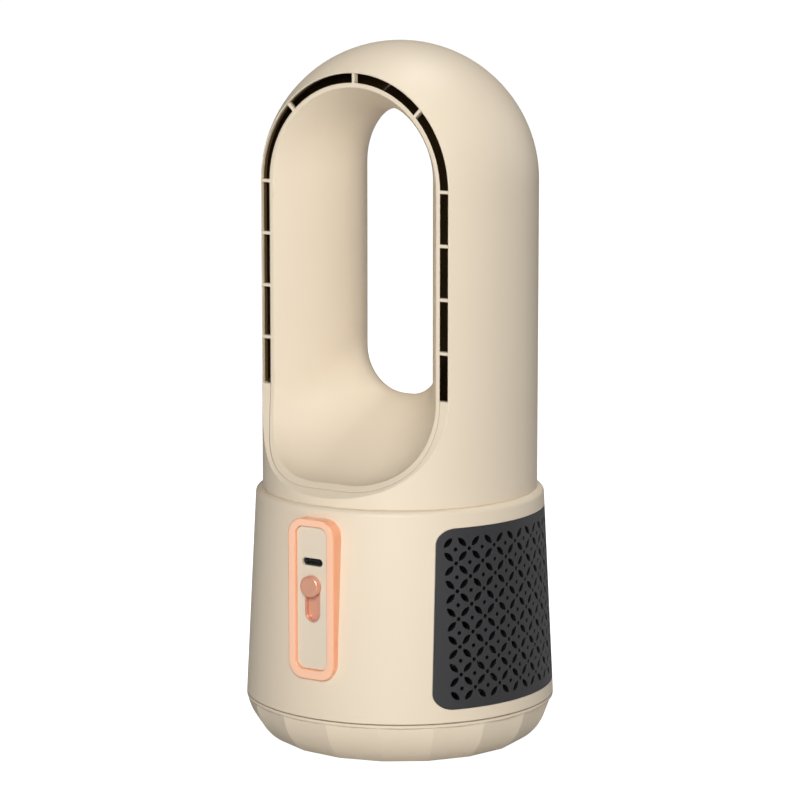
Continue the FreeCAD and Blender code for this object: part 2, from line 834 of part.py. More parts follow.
def foot_facets():
    """Flat-sided bowl: many-sided rings whose corners follow an arc up to the foot's round rim band."""
    low, high = dim("foot_floor_z"), foot_top - dim("foot_band")
    inner, bend = dim("foot_floor_radius"), dim("foot_bowl_radius")
    outer = dim("base_bottom_radius") - dim("foot_facet_clear")
    wide, tall = outer - inner, high - low
    chord = root(wide * wide + tall * tall)
    rise = other_leg(bend, chord / 2)
    centre_r = (inner + outer) / 2 - tall * rise / chord
    centre_z = (low + high) / 2 + wide * rise / chord
    steps = 5
    rings = []
    for step in range(steps + 1):
        z = low + tall * step / steps
        ring = doc.addObject("Part::RegularPolygon", "facet_ring")
        bind(ring, "Polygon", dim("foot_facet_count"))
        bind(ring, "Circumradius", centre_r + other_leg(bend, z - centre_z))
        place(ring, (0, 0, z), (0, 0, 1, dim("foot_facet_turn").value))
        bind(ring, "Placement.Rotation.Angle", dim("foot_facet_turn"))
        rings.append(ring)
    loft = doc.addObject("Part::Loft", "foot_facets")
    loft.Sections, loft.Solid, loft.Ruled = rings, True, False
    return loft


def grille_outline(growth):
    """The grille's outline from the side, as (y, z), grown all round."""
    return rounded(dim("grille_bottom_half") + growth, dim("grille_bottom_z") - growth,
                   dim("grille_top_z") + growth, dim("grille_corner") + growth,
                   dim("grille_top_half") + growth)


def grille_prism(name, growth):
    """The grille's outline run out sideways over the right half of the base."""
    return padded(name, "YZ_Plane", grille_outline(Size.of(growth)), 0.0, Size.of(BEYOND))


def petal_cutters():
    """Leaf-shaped holes leaning in turn to either side, with a round hole in the middle of each four."""
    rows, columns = int(dim("petal_rows").value), int(dim("petal_columns").value)
    reach = dim("petal_length").value / 2 * math.sqrt(0.5)
    belly = dim("petal_width").value / 2 * math.sqrt(0.5)
    near = dim("base_top_radius").value - dim("petal_depth").value
    far = dim("base_bottom_radius").value + PAST
    run = FreeCAD.Vector(far - near, 0, 0)

    def at(y, z):
        return FreeCAD.Vector(near, y, z)

    leaves = {}
    for lean in (1, -1):
        tip, tail = at(lean * reach, reach), at(-lean * reach, -reach)
        sides = [Part.Arc(tail, at(-lean * belly, belly), tip),
                 Part.Arc(tip, at(lean * belly, -belly), tail)]
        leaves[lean] = Part.Face(Part.Wire([side.toShape() for side in sides])).extrude(run)
    dot = Part.makeCylinder(dim("dot_radius").value, far - near, at(0, 0), FreeCAD.Vector(1, 0, 0))
    pitch, low = dim("petal_column_pitch").value, dim("petal_middle_z").value
    holes = []

    def punch(tool, column, row):
        z = low + (row - (rows - 1) / 2) * dim("petal_row_pitch").value
        angle = math.degrees((column - (columns - 1) / 2) * pitch / base_radius(z).value)
        turn = FreeCAD.Rotation(FreeCAD.Vector(0, 0, 1), angle)
        hole = tool.copy()
        hole.Placement = FreeCAD.Placement(FreeCAD.Vector(0, 0, z), turn).multiply(hole.Placement)
        holes.append(hole)

    for row in range(rows):
        for column in range(columns):
            punch(leaves[1 if (column + rows - 1 - row) % 2 == 0 else -1], column, row)
            if row < rows - 1 and column < columns - 1:
                punch(dot, column + 0.5, row + 0.5)
    cutters = doc.addObject("Part::Feature", "petal_cutters")
    cutters.Shape = Part.makeCompound(holes)
    return cutters


def make_grille():
    wall, fit = dim("base_wall"), dim("duct_fit")
    skin = cut(base_cone("grille_face", 0.0), base_cone("grille_core", wall + dim("grille_flange_wall") / 4))
    plate = overlap(skin, grille_prism("grille_plate", 0.0))
    back = wall + fit
    lining = cut(base_cone("flange_face", back), base_cone("flange_core", back + dim("grille_flange_wall")))
    frame = cut(grille_prism("flange_edge", dim("grille_flange")),
                grille_prism("flange_hole", -dim("grille_flange_inset")))
    node("intake_grille", cut(join(plate, overlap(lining, frame)), petal_cutters()))


# Control panel: bezel, plate, slider, switch, socket and board
def panel_outline(growth):
    """The plate's outline from the front, as (x, z), grown all round."""
    return rounded(plate_half + growth, dim("plate_bottom_z") - growth, dim("plate_top_z") + growth,
                   dim("plate_corner") + growth)


def neck_level():
    return dim("neck_back") - dim("base_wall")


def ahead(name, points, back, front):
    """A front outline, as (x, z), between two distances ahead of the axis."""
    return padded(name, "XZ_Plane", points, back, front - back)


def make_panel():
    face = rounded(dim("panel_width") / 2, dim("panel_bottom_z"), dim("panel_top_z"), dim("panel_corner"))
    front = dim("panel_front")
    ring = cut(ahead("bezel_ring", face, neck_level(), front), base_cone("bezel_seat", 0.0))
    neck = ahead("bezel_neck", panel_outline(dim("neck_wall")), dim("neck_back"), dim("plate_front"))
    opening = ahead("bezel_opening", panel_outline(Size.of(0)), plate_back, front + PAST)
    through = ahead("bezel_through", panel_outline(-dim("ledge")), neck_level() - PAST, front + PAST)
    node("control_bezel", cut(join(ring, neck), opening, through))

    plate = ahead("plate_face", panel_outline(-dim("plate_fit")), plate_back, dim("plate_front"))
    post_heights = (dim("panel_post_low_z"), dim("panel_post_high_z"))
    post_length = plate_back - board_front
    posts = [cylinder("plate_post", dim("panel_post_radius"), post_length, (0, -plate_back, z), "Y")
             for z in post_heights]
    screw, reach = dim("panel_screw_radius"), dim("panel_screw_reach")
    bores = [cylinder("post_bore", screw + dim("screw_fit"), reach + PAST, (0, -board_front - reach, z), "Y")
             for z in post_heights]
    track_hole = ahead("track_hole", stadium(dim("slot_width") / 2 + dim("screw_fit"), knob_low_z, knob_z),
                       plate_back - PAST, front)
    usb_hole = ahead("usb_hole", usb_outline(dim("screw_fit")), plate_back - PAST, front)
    node("control_plate", cut(join(plate, *posts), track_hole, usb_hole, *bores))

    half = dim("slot_width") / 2
    track_front = dim("plate_front") - dim("track_recess")
    outer, inner = stadium(half, knob_low_z, knob_z), stadium(half - dim("track_wall"), knob_low_z, knob_z)
    node("slide_track", cut(ahead("track_outer", outer, plate_back, track_front),
                            ahead("track_inner", inner, plate_back - PAST, front)))

    board_half = dim("control_board_half_width")
    board = box("board_blank", (-board_half, -board_front, dim("control_board_bottom_z")),
                (board_half, -board_back, dim("control_board_top_z")))
    board_holes = [cylinder("board_hole", screw + dim("screw_fit"), dim("board_thickness") + PAST * 2,
                            (0, -board_front - PAST, z), "Y") for z in post_heights]
    node("control_board", cut(board, *board_holes))
    fasteners = []
    for z in post_heights:
        shank = cylinder("panel_shank", screw, reach + dim("board_thickness"),
                         (0, -board_front - reach, z), "Y")
        head = cylinder("panel_head", dim("panel_screw_head"), dim("panel_screw_head_height"),
                        (0, -board_back, z), "Y")
        fasteners.append(join(shank, head))
    node("control_board_screws", group("panel_screws", *fasteners))


def make_slider():
    knob_back = dim("plate_front") + dim("slide_gap")
    flat = dim("knob_front") - dim("knob_chamfer")
    disc = cylinder("knob_disc", dim("knob_radius"), flat - knob_back, (0, -knob_back, knob_z), "-Y")
    face = doc.addObject("Part::Cone", "knob_face")
    bind(face, "Radius1", dim("knob_radius"))
    bind(face, "Radius2", dim("knob_radius") - dim("knob_chamfer"))
    bind(face, "Height", dim("knob_chamfer"))
    place(face, (0, -flat, knob_z), TURNS["-Y"])
    stem_end = carriage_front - dim("carriage_thickness") / 2
    stem = cylinder("knob_stem", dim("stem_radius"), knob_back - stem_end, (0, -stem_end, knob_z), "-Y")
    node("slide_knob", join(disc, face, stem))

    half = dim("carriage_width") / 2
    strip = box("carriage_strip", (-half, -carriage_front, knob_z - dim("carriage_below")),
                (half, -carriage_back, knob_z + dim("carriage_above")))
    grip = dim("fork_size") / 2
    fork = box("carriage_fork", (-grip, -carriage_back, knob_z - grip),
               (grip, dim("fork_depth") - carriage_back, knob_z + grip))
    wide, tall = dim("lever_width") / 2, dim("lever_height") / 2
    fit = dim("lever_fit")
    notch = box("fork_notch", (-wide - fit, -carriage_back, knob_z - tall - fit),
                (wide + fit, Size.of(0), knob_z + tall + fit))
    seat = cylinder("stem_seat", dim("stem_radius"), carriage_front - stem_end + PAST,
                    (0, -stem_end, knob_z), "-Y")
    node("slide_carriage", cut(join(strip, fork), notch, seat))

    gap = dim("slide_gap")
    well = switch_front - dim("switch_slot_depth")
    middle = (knob_z + knob_low_z) / 2
    body = box("switch_blank", (-dim("switch_width") / 2, -switch_front, middle - dim("switch_length") / 2),
               (dim("switch_width") / 2, -board_front, middle + dim("switch_length") / 2))
    slot = box("switch_slot", (-wide - gap, -switch_front - PAST, knob_low_z - tall - gap),
               (wide + gap, -well, knob_z + tall + gap))
    node("slide_switch_body", cut(body, slot))
    node("slide_switch_lever", box("lever", (-wide, fit - carriage_back, knob_z - tall),
                                   (wide, -well - gap, knob_z + tall)))


def usb_outline(growth):
    """The socket's round-ended opening from the front, as (x, z), grown all round."""
    end = dim("usb_open_height") / 2 + growth
    flat, z = dim("usb_open_width") / 2 - dim("usb_open_height") / 2, dim("usb_z")
    return [
        (-flat, z - end, end),
        (flat, z - end),
        (flat + end, z, end),
        (flat, z + end, end),
        (-flat, z + end),
        (-flat - end, z, end),
    ]


def make_usb_socket():
    bottom = board_front + dim("usb_back_wall")
    shell = cut(ahead("usb_tube", usb_outline(dim("usb_shell_wall")), board_front, plate_back),
                ahead("usb_bore", usb_outline(Size.of(0)), bottom, plate_back + PAST))
    node("usb_socket_shell", shell)
    wide, tall = dim("usb_tongue_width") / 2, dim("usb_tongue_height") / 2
    z = dim("usb_z")
    node("usb_socket_tongue", box("usb_tongue", (-wide, -bottom - dim("usb_tongue_reach"), z - tall),
                                  (wide, -bottom, z + tall)))


# Main board in the foot
def make_main_board():
    holes = pins("main_hole", dim("main_screw_radius") + dim("screw_fit"), dim("main_board_z") - PAST,
                 main_top + PAST, dim("main_post_circle"), MAIN_POSTS)
    blank = cylinder("main_blank", dim("main_board_radius"), dim("board_thickness"),
                     (0, 0, dim("main_board_z")))
    node("main_board", cut(blank, *holes))
    head_top = main_top + dim("main_screw_head_height")
    node("main_board_screws", screws("main_screw", dim("main_screw_radius"),
                                     main_top - dim("main_screw_reach"), head_top,
                                     dim("main_screw_head"), main_top, head_top,
                                     dim("main_post_circle"), MAIN_POSTS))
    can, tall = dim("capacitor_radius"), dim("capacitor_height")
    chip, coil = dim("chip_side") / 2, dim("coil_side") / 2
    across_x = dim("board_part_x")
    capacitors = [cylinder("capacitor", can, tall, (-across_x, (can + can / 4) * side, main_top))
                  for side in (-1, 1)]
    driver = box("driver_chip", (-chip, -chip, main_top), (chip, chip, main_top + dim("chip_height")))
    choke = box("choke_coil", (across_x - coil, -coil, main_top), (across_x + coil, coil, main_top + coil))
    node("main_board_parts", group("board_parts", *capacitors, driver, choke))


# Blower: casing, gasket, impeller, diffuser pod and motor
def make_blower():
    throat, throat_z = dim("blower_throat_radius"), dim("blower_throat_z")
    lip, wall, shoulder_z = dim("blower_lip"), dim("blower_wall"), dim("blower_shoulder_z")
    shell = revolved("casing_shell", [
        (throat + lip, dim("blower_inlet_z"), lip),
        (throat + lip + wall, dim("blower_inlet_z")),
        (throat + wall * cone_lean, throat_z),
        (casing, shoulder_z - wall / 3),
        (casing, flange_under),
        (dim("blower_flange_radius"), flange_under),
        (dim("blower_flange_radius"), flange_top),
        (dim("blower_radius"), flange_top),
        (dim("blower_radius"), shoulder_z),
        (throat, throat_z),
    ])
    hole = dim("head_screw_radius") + dim("screw_fit")
    flange_holes = pins("flange_hole", hole, flange_under - PAST, flange_top + PAST,
                        dim("head_screw_circle"), HEAD_SCREWS)
    lead_hole = cylinder("lead_hole", dim("cable_radius") * 2, wall * 3,
                         (0, dim("blower_radius") - wall, dim("grommet_z")), "Y")
    node("blower_casing", cut(shell, *flange_holes, lead_hole))
    ring = revolved("gasket_ring", rectangle(dim("heater_frame_radius") + dim("spigot_fit"),
                                             dim("blower_flange_radius"), flange_top, roof_under))
    gasket_holes = pins("gasket_hole", hole, flange_top - PAST, roof_under + PAST,
                        dim("head_screw_circle"), HEAD_SCREWS)
    node("blower_gasket", cut(ring, *gasket_holes))
    head_low = flange_under - dim("head_screw_head_height")
    node("head_screws", screws("head_screw", dim("head_screw_radius"), head_low, ring_top - wall / 3,
                               dim("head_screw_head"), head_low, flange_under,
                               dim("head_screw_circle"), HEAD_SCREWS))


def make_impeller():
    low, high = dim("impeller_bottom_z"), dim("impeller_top_z")
    wheel = revolved("impeller_wheel", [
        (dim("shaft_radius"), low), (dim("hub_nose_radius"), low),
        (dim("hub_top_radius"), high), (dim("shaft_radius"), high),
    ])
    half, bow = dim("blade_thickness") / 2, dim("blade_bow")
    start, end = dim("hub_nose_radius") - dim("blade_root"), dim("blower_radius")
    trail = end / 3
    padded("blade", "XY_Plane", [
        (start, -half), (end, -trail - half, -bow), (end, half - trail), (start, half, bow),
    ], low, high - low, wheel)
    turned_copies(wheel, dim("blade_count"))

    def tip(z):
        casing_r = dim("blower_throat_radius") + (z - dim("blower_throat_z")) * cone_slope
        return (casing_r - dim("tip_gap") * cone_lean, z)

    outer = casing + dim("blower_lip")
    below, above = low - PAST, high + PAST
    revolved("tips", [tip(below), (outer, below), (outer, above), tip(above)], "Groove", wheel)
    node("impeller", wheel)
    nut = doc.addObject("Part::Prism", "nut_blank")
    nut.Polygon = 6
    bind(nut, "Circumradius", dim("nut_radius"))
    bind(nut, "Height", dim("nut_height"))
    place(nut, (0, 0, low - dim("nut_height")))
    bore = cylinder("nut_bore", dim("shaft_radius"), dim("nut_height") + PAST * 2,
                    (0, 0, low - dim("nut_height") - PAST))
    node("impeller_nut", cut(nut, bore))


def make_diffuser():
    inner, floor_top = dim("pod_radius") - dim("pod_wall"), dim("pod_bottom_z") + dim("pod_floor")
    shaft_hole = dim("shaft_radius") + dim("bearing_seat")
    pod = revolved("diffuser", [
        (shaft_hole, dim("pod_bottom_z")), (dim("pod_radius"), dim("pod_bottom_z")),
        (dim("pod_radius"), dim("pod_top_z")), (inner, dim("pod_top_z")),
        (inner, floor_top), (shaft_hole, floor_top),
    ])
    half = dim("vane_thickness") / 2
    padded("vane", "XY_Plane", rectangle(dim("pod_radius") - dim("pod_wall") / 2,
                                         dim("blower_radius") - dim("vane_fit"), -half, half),
           dim("vane_bottom_z"), dim("pod_top_z") - dim("vane_bottom_z") - dim("vane_thickness"), pod)
    node("diffuser_pod", turned_copies(pod, dim("vane_count")))
    top, rise = dim("pod_top_z"), dim("pod_cap_height")
    node("pod_cap", revolved("cap", [
        (0, top + rise - dim("pod_wall")),
        (dim("pod_cap_radius") - dim("pod_wall") / 2, top + rise - dim("pod_wall")),
        (inner, top), (dim("pod_radius"), top),
        (dim("pod_cap_radius"), top + rise), (0, top + rise),
    ]))
    node("motor_damper", revolved("damper", rectangle(dim("motor_radius"), inner, floor_top,
                                                      floor_top + dim("damper_length"))))


def make_motor():
    low, top = dim("pod_bottom_z") + dim("pod_floor"), dim("motor_top_z")
    outer, bore = dim("motor_radius"), dim("motor_radius") - dim("motor_wall")
    seat_in, seat_out = dim("bearing_radius"), dim("bearing_radius") + dim("bearing_seat")
    shaft, throat = dim("shaft_radius"), dim("shaft_radius") + dim("bearing_seat")
    seat_z = low + dim("motor_floor")
    boss_z = seat_z + dim("bearing_width")
    node("motor_can", revolved("can", [
        (throat, low), (outer, low), (outer, top), (bore, top), (bore, seat_z),
        (seat_out, seat_z), (seat_out, boss_z), (seat_in, boss_z), (seat_in, seat_z), (throat, seat_z),
    ]))
    lip_z = top - dim("motor_floor") / 2
    upper_z = lip_z - dim("bearing_width")
    cap_z = top - dim("end_cap")
    node("motor_end_cap", revolved("end_cap_disc", [
        (throat, lip_z), (seat_in, lip_z), (seat_in, upper_z), (seat_out, upper_z),
        (seat_out, cap_z), (bore, cap_z), (bore, top), (throat, top),
    ]))
    inner_race = shaft + dim("bearing_fit")
    bearings = [revolved("bearing", rectangle(inner_race, seat_in, z, z + dim("bearing_width")))
                for z in (seat_z, upper_z)]
    node("motor_bearings", group("bearing_pair", *bearings))
    coil_z = (boss_z + upper_z) / 2 - dim("magnet_length") / 2
    node("motor_stator", revolved("stator", rectangle(dim("stator_bore"), bore, coil_z,
                                                      coil_z + dim("magnet_length"))))
    node("motor_rotor", revolved("rotor", rectangle(shaft, dim("rotor_radius"), coil_z,
                                                    coil_z + dim("magnet_length"))))
    shaft_low = dim("impeller_bottom_z") - dim("nut_height")
    node("motor_shaft", cylinder("shaft", shaft, lip_z - shaft_low, (0, 0, shaft_low)))


# Heater above the blower: frame, heating bars, fins and thermal cut-off
def make_heater():
    half_x, fit, wall = dim("heater_length") / 2, dim("heater_fit"), dim("heater_wall")
    top = ledge_top + dim("heater_height")
    frame_top = flange_top + dim("heater_frame_base")
    rim_x, rim_y = half_x + fit + wall, heater_half + fit + wall
    disc = cylinder("frame_disc", dim("heater_frame_radius"), dim("heater_frame_base"), (0, 0, flange_top))
    rim = box("frame_rim", (-rim_x, -rim_y, flange_top),
              (rim_x, rim_y, frame_top + dim("heater_wall_height")))
    room = box("frame_room", (-half_x - fit, -heater_half - fit, ledge_top),
               (half_x + fit, heater_half + fit, top + wall))
    inset = dim("heater_ledge_width")
    window = box("frame_window", (inset - half_x, inset - heater_half, flange_top - PAST),
                 (half_x - inset, heater_half - inset, ledge_top + PAST))
    node("heater_frame", cut(join(disc, rim), room, window))
    bar_near = dim("fin_depth") / 2
    bars = []
    for low_y in (-bar_near - dim("ptc_thickness"), bar_near):
        bars.append(box("ptc_bar", (-half_x, low_y, ledge_top), (half_x, low_y + dim("ptc_thickness"), top)))
    node("heater_ptc_bars", group("ptc_bars", *bars))
    pitch = dim("fin_depth") + dim("ptc_thickness")
    node("heater_fins", group("fin_banks", *[fin_bank(pitch * step - bar_near) for step in (-1, 0, 1)]))
    radius, length = dim("cutoff_radius"), dim("cutoff_length")
    node("thermal_cutoff", cylinder("cutoff", radius, length,
                                    (-length / 2, rim_y + radius + fit, frame_top + radius), "X"))


def fin_bank(near_y):
    """A comb of thin sheets on a spine that lies against a heating bar."""
    half_x, sheet_x = dim("heater_length") / 2, dim("fin_sheet")
    count = whole(dim("heater_length") / dim("fin_pitch"))
    first = -dim("fin_pitch") * (count - 1.0) / 2 - sheet_x / 2
    bank = padded("fin_bank", "XY_Plane", rectangle(-half_x, half_x, near_y, near_y + dim("fin_spine")),
                  ledge_top, dim("heater_height"))
    padded("fin", "XY_Plane", rectangle(first, first + sheet_x, near_y, near_y + dim("fin_depth")),
           ledge_top, dim("heater_height"), bank)
    row = bank.newObject("PartDesign::LinearPattern", "Row")
    row.Originals = [bank.Tip]
    row.Direction = ([f for f in bank.Origin.OriginFeatures if f.Role == "X_Axis"][0], [""])
    bind(row, "Length", dim("fin_pitch") * (count - 1.0))
    bind(row, "Occurrences", count)
    bank.Tip = row
    return bank


# Cables inside the base
def cable(name, points):
    """A round cable along straight runs joined by tangent arcs."""
    spots = [FreeCAD.Vector(*[Size.of(n).value for n in point]) for point in points]
    radius, edges, start = dim("cable_radius").value, [], spots[0]
    for before, corner, after in zip(spots, spots[1:], spots[2:]):
        back, ahead_run = (before - corner), (after - corner)
        half_turn = (math.pi - back.getAngle(ahead_run)) / 2
        longest = TRIM_SHARE * min(back.Length, ahead_run.Length)
        trim = min(dim("cable_bend").value * math.tan(half_turn), longest)
        enter, leave = corner + back.normalize() * trim, corner + ahead_run.normalize() * trim
        inward = (back + ahead_run).normalize()
        bend = trim / math.tan(half_turn)
        middle = corner + inward * (bend / math.cos(half_turn) - bend)
        edges += [Part.LineSegment(start, enter).toShape(), Part.Arc(enter, middle, leave).toShape()]
        start = leave
    edges.append(Part.LineSegment(start, spots[-1]).toShape())
    path = Part.Wire(edges)
    section = Part.Wire([Part.makeCircle(radius, spots[0], spots[1] - spots[0])])
    tube = path.makePipeShell([section], True, False)
    expected = math.pi * radius ** 2 * path.Length
    if abs(tube.Volume - expected) > 0.01 * expected:
        raise RuntimeError("%s: the cable's volume is not its section times its length" % name)
    lead = doc.addObject("Part::Feature", name)
    lead.Shape = tube
    node(name, lead)


def make_cables():
    plug, plug_top = dim("cable_plug") / 2, main_top + dim("cable_plug_height")
    side_x, side_y, rear_y = dim("control_plug_x"), -dim("control_plug_y"), dim("power_plug_y")
    plugs = [box("plug", (x - plug, y - plug, main_top), (x + plug, y + plug, plug_top))
             for x, y in ((side_x, side_y), (Size.of(0), rear_y))]
    node("cable_plugs", group("plug_pair", *plugs))
    leave_z, drop = dim("control_cable_z"), dim("cable_bend")
    cable("control_cable", [
        (side_x, -board_back, leave_z),
        (side_x, drop - board_back, leave_z),
        (side_x, drop - board_back, plug_top + drop * 2),
        (side_x, side_y, plug_top + drop),
        (side_x, side_y, plug_top),
    ])
    grommet_z, radius = dim("grommet_z"), dim("cable_radius")
    seat, flange = casing + dim("duct_fit"), dim("grommet_flange")
    stem = cylinder("grommet_stem", radius * 2 - dim("duct_fit"), dim("blower_wall"),
                    (0, seat - dim("blower_wall"), grommet_z), "Y")
    collar = cylinder("grommet_collar", radius * 2 + flange, flange, (0, seat, grommet_z), "Y")
    node("cable_grommet", join(stem, collar))
    out_y = seat + flange
    cable("power_cable", [
        (0, out_y, grommet_z),
        (0, out_y + drop * 0.6, grommet_z),
        (0, out_y + drop * 0.6, plug_top + drop * 3),
        (0, rear_y, plug_top + drop),
        (0, rear_y, plug_top),
    ])


NODES = {}


def node(name, thing):
    """Give a finished piece the name that its file and its users know it by."""
    thing.Label = name
    NODES[name] = thing


make_head()
make_base_housing()
make_foot()
make_grille()
make_panel()
make_slider()
make_usb_socket()
make_main_board()
make_blower()
make_impeller()
make_diffuser()
make_motor()
make_heater()
make_cables()
doc.recompute()

for thing in doc.Objects:
    if "Invalid" in thing.State or "Error" in thing.State:
        raise RuntimeError("%s did not build: %s" % (thing.Label, thing.State))
for name, thing in NODES.items():
    shape = thing.Shape
    if thing.Label != name or shape.isNull() or not shape.isValid() or not shape.Solids:
        raise RuntimeError("%s has no valid solid" % name)

os.makedirs("parts", exist_ok=True)
for name, thing in NODES.items():
    thing.Shape.exportStep("parts/%s.step" % name)
    print("%-24s %2d solid(s) %10.1f mm3" % (name, len(thing.Shape.Solids), thing.Shape.Volume))
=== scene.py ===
"""Looks of a small bladeless fan heater: finishes, moulded edges, studio and camera.

Metres, with +Z up and the front at -Y.
"""
import json
import math

import bmesh
import bpy
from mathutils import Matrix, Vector


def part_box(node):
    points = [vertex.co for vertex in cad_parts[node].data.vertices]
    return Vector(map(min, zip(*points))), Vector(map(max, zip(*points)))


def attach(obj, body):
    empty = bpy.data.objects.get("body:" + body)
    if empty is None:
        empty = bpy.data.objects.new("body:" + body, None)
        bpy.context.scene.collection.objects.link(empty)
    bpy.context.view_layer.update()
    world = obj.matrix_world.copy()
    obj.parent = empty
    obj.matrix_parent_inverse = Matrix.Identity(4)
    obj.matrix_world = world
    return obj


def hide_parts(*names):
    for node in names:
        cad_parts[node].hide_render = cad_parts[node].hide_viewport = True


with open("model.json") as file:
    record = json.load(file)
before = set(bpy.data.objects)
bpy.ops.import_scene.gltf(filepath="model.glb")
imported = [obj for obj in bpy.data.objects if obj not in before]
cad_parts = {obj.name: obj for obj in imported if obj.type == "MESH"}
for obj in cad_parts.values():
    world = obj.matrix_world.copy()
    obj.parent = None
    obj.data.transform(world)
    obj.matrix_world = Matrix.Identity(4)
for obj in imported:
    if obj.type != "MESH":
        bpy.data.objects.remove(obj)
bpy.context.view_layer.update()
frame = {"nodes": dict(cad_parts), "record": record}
NODES = frame["nodes"]
MM = 0.001

# Camera of the photograph: a long lens to the right of the front, a little above
CAMERA_PLACE = Vector((659.9, -991.0, 313.3)) * MM
CAMERA_AIM = Vector((0.0, 0.0, 118.5)) * MM
CAMERA_LENS = 155.7
CAMERA_SENSOR = 36.0

# Cone of the base
BASE_BOTTOM_RADIUS, BASE_TOP_RADIUS = 54.0 * MM, 50.3 * MM
BASE_BOTTOM_Z, BASE_TOP_Z = 16.0 * MM, 88.6 * MM

# Frame of the control panel, and the plate that it holds
BEZEL_CORNER, BEZEL_EDGE, BEZEL_INNER_EDGE = 5.8 * MM, 0.4 * MM, 0.25 * MM
BEZEL_SINK, BEZEL_DEPTH = 0.4 * MM, 2.4 * MM
PLATE_CORNER, PLATE_FIT = 3.0 * MM, 0.1 * MM

# Slider knob, with its dish's middle as shares of the radius and of the dish's depth
KNOB_EDGE, KNOB_DISH, KNOB_THICKNESS, KNOB_STEM = 0.7 * MM, 0.15 * MM, 2.1 * MM, 2.2 * MM
DISH_MIDDLE_RADIUS, DISH_MIDDLE_DEPTH = 0.45, 0.8

# Steps of a rounded corner and a rolled edge, sides of the knob, and the least angle of a sharp edge
CORNER_STEPS, EDGE_STEPS, KNOB_SIDES = 10, 5, 72
SHARP_ANGLE = math.radians(38)

# Limits of the painted shade inside the head and the grille, and of the painted light on the bezel's face
DOME_Z, SLOT_END_Z, INNER_WALL_RADIUS = 195.6 * MM, 125.3 * MM, 47.2 * MM
LOOP_MIDDLE_Z, DUCT_BACK_LEAN = 160.0 * MM, 2.0 * MM
PAINTED_SHADE_FRONT_Y, PAINTED_SHADE_REAR_Y = -27.3 * MM, 26.5 * MM
GRILLE_SKIN = 0.3 * MM
FRONT_FACING = -0.98

# Studio: name, azimuth from the front, elevation, watts, width and height of each soft box
FLOOR_HALF = 15.0
FLOOR_GLOW = 1.0
SURROUND_STRENGTH = 0.07
SOFT_BOX_DISTANCE = 1.4
SOFT_BOXES = [
    ("key_softbox", 28.0, 20.0, 17.0, (0.45, 0.55)),
    ("top_softbox", 170.0, 75.0, 7.5, (0.5, 0.5)),
    ("left_softbox", -85.0, 15.0, 0.4, (0.4, 1.0)),
    ("right_softbox", 152.0, 15.0, 2.5, (0.4, 1.0)),
]

# Colours as seen on the object, red, green and blue from 0 to 255
BEIGE = (231, 216, 193)
BEIGE_SHADE = (216, 199, 174)
PLATE_CREAM = (226, 213, 192)
PEACH = (255, 178, 134)
PEACH_SHADE = (252, 168, 124)
# Painted light: paler peach for the bezel's face that looks straight ahead
PEACH_PAINTED_LIGHT = (255, 202, 170)
COPPER_PINK = (236, 174, 146)
COPPER_SHADE = (206, 140, 118)
CHARCOAL = (50, 50, 52)
CHARCOAL_SHADE = (42, 42, 44)
# Painted shade: black for the grille's holes and back
HOLE_PAINTED_SHADE_BLACK = (8, 8, 8)
BLACK_PLASTIC = (24, 24, 25)
BLACK_RUBBER = (34, 33, 33)
BOARD_GREEN = (24, 86, 52)
COPPER_WIRE = (186, 104, 62)
BARE_METAL = (196, 196, 198)
DARK_STEEL = (120, 120, 122)
NATURAL_PLASTIC = (222, 220, 212)
# Painted shade: dark brown for the head's inner wall and the back of the duct, seen through the nozzle slots
PAINTED_SHADE_BROWN = (104, 80, 44)
FLOOR_GREY = (200, 200, 200)
WHITE_LIGHT = (1.0, 1.0, 1.0, 1.0)

# Moulded skin: scale, detail and roughness of each noise, the share of the drift, and the grain's height
DRIFT_NOISE = (22.0, 3.0, 0.5)
SMUDGE_NOISE = (60.0, 4.0, 0.5)
GRAIN_NOISE = (2500.0, 2.0, 0.6)
COLOUR_DRIFT = 0.25
GRAIN_BUMP, GRAIN_DEPTH = 0.04, 0.02 * MM

# Roughness of the shell from its glossiest to its dullest spots, and the radius of softened edges
SHELL_GLOSS = (0.46, 0.54)
SHELL_EDGE, FINE_EDGE = 0.5 * MM, 0.3 * MM
EDGE_SAMPLES = 4


def linear(colour):
    """A screen colour as the shader's linear red, green, blue and alpha."""
    def channel(value):
        share = value / 255
        return share / 12.92 if share <= 0.04045 else ((share + 0.055) / 1.055) ** 2.4
    return (*[channel(value) for value in colour], 1.0)


# Shader groups
def new_group(name, inputs, outputs):
    group = bpy.data.node_groups.new(name, "ShaderNodeTree")
    for title, kind, default in inputs:
        socket = group.interface.new_socket(title, in_out="INPUT", socket_type=kind)
        socket.default_value = default
    for title, kind in outputs:
        group.interface.new_socket(title, in_out="OUTPUT", socket_type=kind)
    nodes = group.nodes
    return group, nodes.new("NodeGroupInput"), nodes.new("NodeGroupOutput")


def feed(links, socket, value):
    """Give a socket a number, or link another socket to it."""
    if isinstance(value, (int, float)):
        socket.default_value = value
    else:
        links.new(value, socket)


def noise(nodes, links, place, look):
    """Noise of a given scale, detail and roughness."""
    texture = nodes.new("ShaderNodeTexNoise")
    links.new(place, texture.inputs["Vector"])
    for title, value in zip(("Scale", "Detail", "Roughness"), look):
        texture.inputs[title].default_value = value
    return texture.outputs["Fac"]


def remap(nodes, links, value, low, high):
    """Spread a 0 to 1 value between two others, which may be sockets."""
    node = nodes.new("ShaderNodeMapRange")
    links.new(value, node.inputs["Value"])
    feed(links, node.inputs["To Min"], low)
    feed(links, node.inputs["To Max"], high)
    return node.outputs["Result"]


def math_node(nodes, links, operation, first, second):
    """The result of a sum on two values, each a number or a socket."""
    node = nodes.new("ShaderNodeMath")
    node.operation = operation
    feed(links, node.inputs[0], first)
    feed(links, node.inputs[1], second)
    return node.outputs["Value"]


